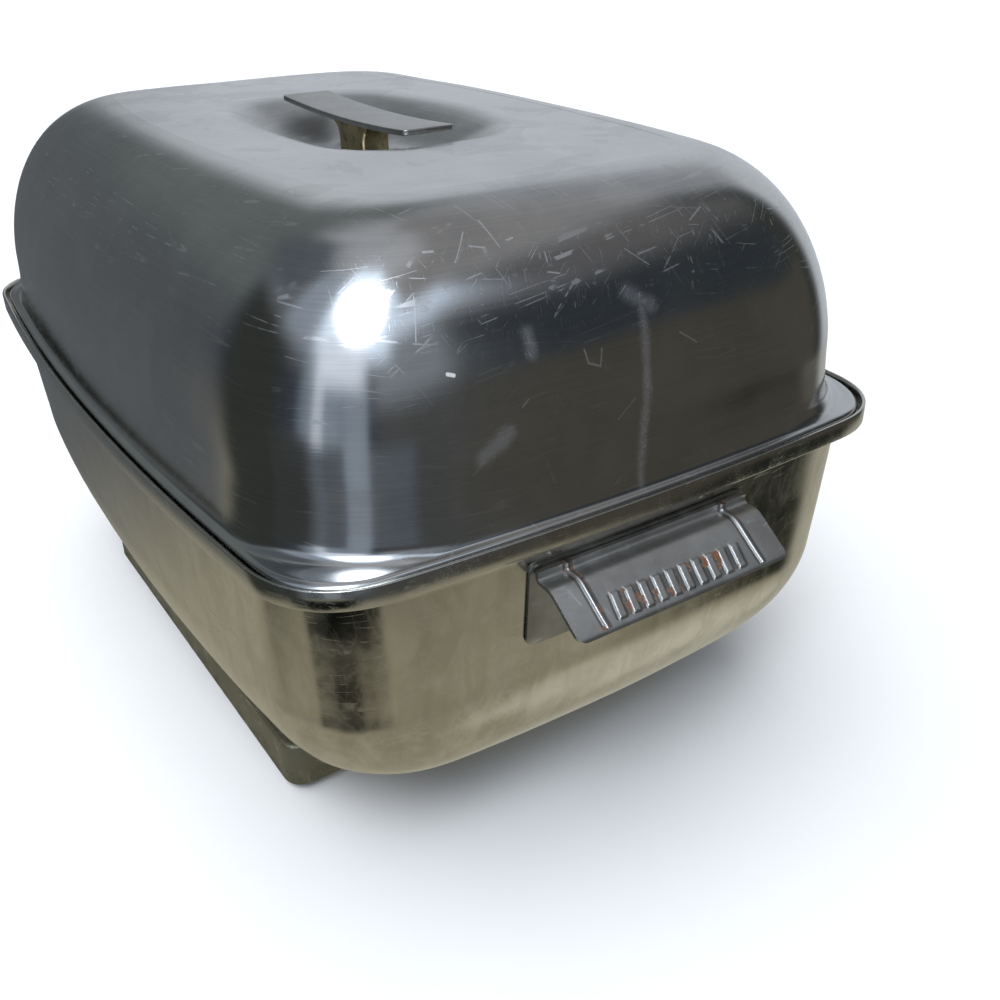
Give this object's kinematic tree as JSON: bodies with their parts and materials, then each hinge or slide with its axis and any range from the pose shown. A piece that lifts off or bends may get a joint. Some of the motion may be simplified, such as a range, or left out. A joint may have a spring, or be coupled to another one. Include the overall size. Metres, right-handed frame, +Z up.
{
  "type": "electric smoker",
  "caption": "Tabletop electric smoker: a deep rounded steel pan with end handles on a low heater base, under a high domed lid with a raised flat grip.",
  "frame": {"origin": "on the floor under the middle of the base, at the underside of the feet", "axes": "+X along the long side, towards the near handle; +Y towards the wall with the control knob; +Z up"},
  "size_m": [0.4742, 0.3054, 0.2628],
  "materials": {
    "lid_steel": "polished, finely scratched, with heat stains",
    "pan_steel": "polished, with mottled heat and water stains",
    "satin_steel": "satin, with rust in the creases",
    "brass_stem": "aged, worn",
    "base_steel": "dull satin, olive grey",
    "cast_plate": "heat darkened",
    "bright_wire": "bright plated, lightly toned by heat",
    "sheath": "oxidised element sheath",
    "ceramic": "unglazed ceramic",
    "black_plastic": "moulded phenolic",
    "rubber": "moulded",
    "amber_lens": "amber lens",
    "glass_fibre": "braided glass fibre sleeve"
  },
  "bodies": {
    "base": {"centre_bolt": "satin_steel", "centre_nut": "satin_steel", "lower_spacer": "satin_steel", "upper_spacer": "satin_steel", "inlet_pin_left": "satin_steel", "inlet_pin_right": "satin_steel", "thermostat_body": "satin_steel", "thermostat_nut": "satin_steel", "foot_screw_1": "satin_steel", "foot_screw_2": "satin_steel", "foot_screw_3": "satin_steel", "foot_screw_4": "satin_steel", "base_housing": "base_steel", "bottom_plate": "base_steel", "hot_plate": "cast_plate", "heat_reflector": "bright_wire", "heating_element": "sheath", "terminal_block": "ceramic", "element_support_1": "ceramic", "element_support_2": "ceramic", "element_support_3": "ceramic", "inlet_socket": "black_plastic", "pilot_lamp": "black_plastic", "foot_1": "rubber", "foot_2": "rubber", "foot_3": "rubber", "foot_4": "rubber", "pilot_lens": "amber_lens", "lead_inlet_to_thermostat": "glass_fibre", "lead_thermostat_to_element": "glass_fibre", "lead_inlet_to_element": "glass_fibre", "lamp_lead_live": "glass_fibre", "lamp_lead_neutral": "glass_fibre"},
    "control": {"control_knob": "black_plastic", "thermostat_shaft": "satin_steel"},
    "pan": {"pan_shell": "pan_steel", "near_handle": "satin_steel", "near_handle_plate": "satin_steel", "far_handle": "satin_steel", "far_handle_plate": "satin_steel"},
    "tray": {"drip_tray": "satin_steel"},
    "rack": {"wire_rack": "bright_wire", "rack_leg_1": "bright_wire", "rack_leg_2": "bright_wire", "rack_leg_3": "bright_wire", "rack_leg_4": "bright_wire"},
    "lid": {"lid_shell": "lid_steel", "grip_plate": "satin_steel", "grip_stem": "brass_stem", "grip_backing_plate": "satin_steel", "grip_screw_left": "satin_steel", "grip_screw_right": "satin_steel"}
  },
  "joints": [
    {"name": "knob_turn", "type": "hinge", "parent": "base", "child": "control", "pos_m": [0.04, 0.124, 0.015], "axis": [0, -1, 0], "range_deg": [0, 270]},
    {"name": "pan_lift", "type": "slide", "parent": "base", "child": "pan", "axis": [0, 0, 1], "range_m": [0, 0.15]},
    {"name": "tray_lift", "type": "slide", "parent": "pan", "child": "tray", "axis": [0, 0, 1], "range_m": [0, 0.05]},
    {"name": "rack_lift", "type": "slide", "parent": "tray", "child": "rack", "axis": [0, 0, 1], "range_m": [0, 0.08]},
    {"name": "lid_lift", "type": "slide", "parent": "pan", "child": "lid", "axis": [0, 0, 1], "range_m": [0, 0.25]}
  ]
}
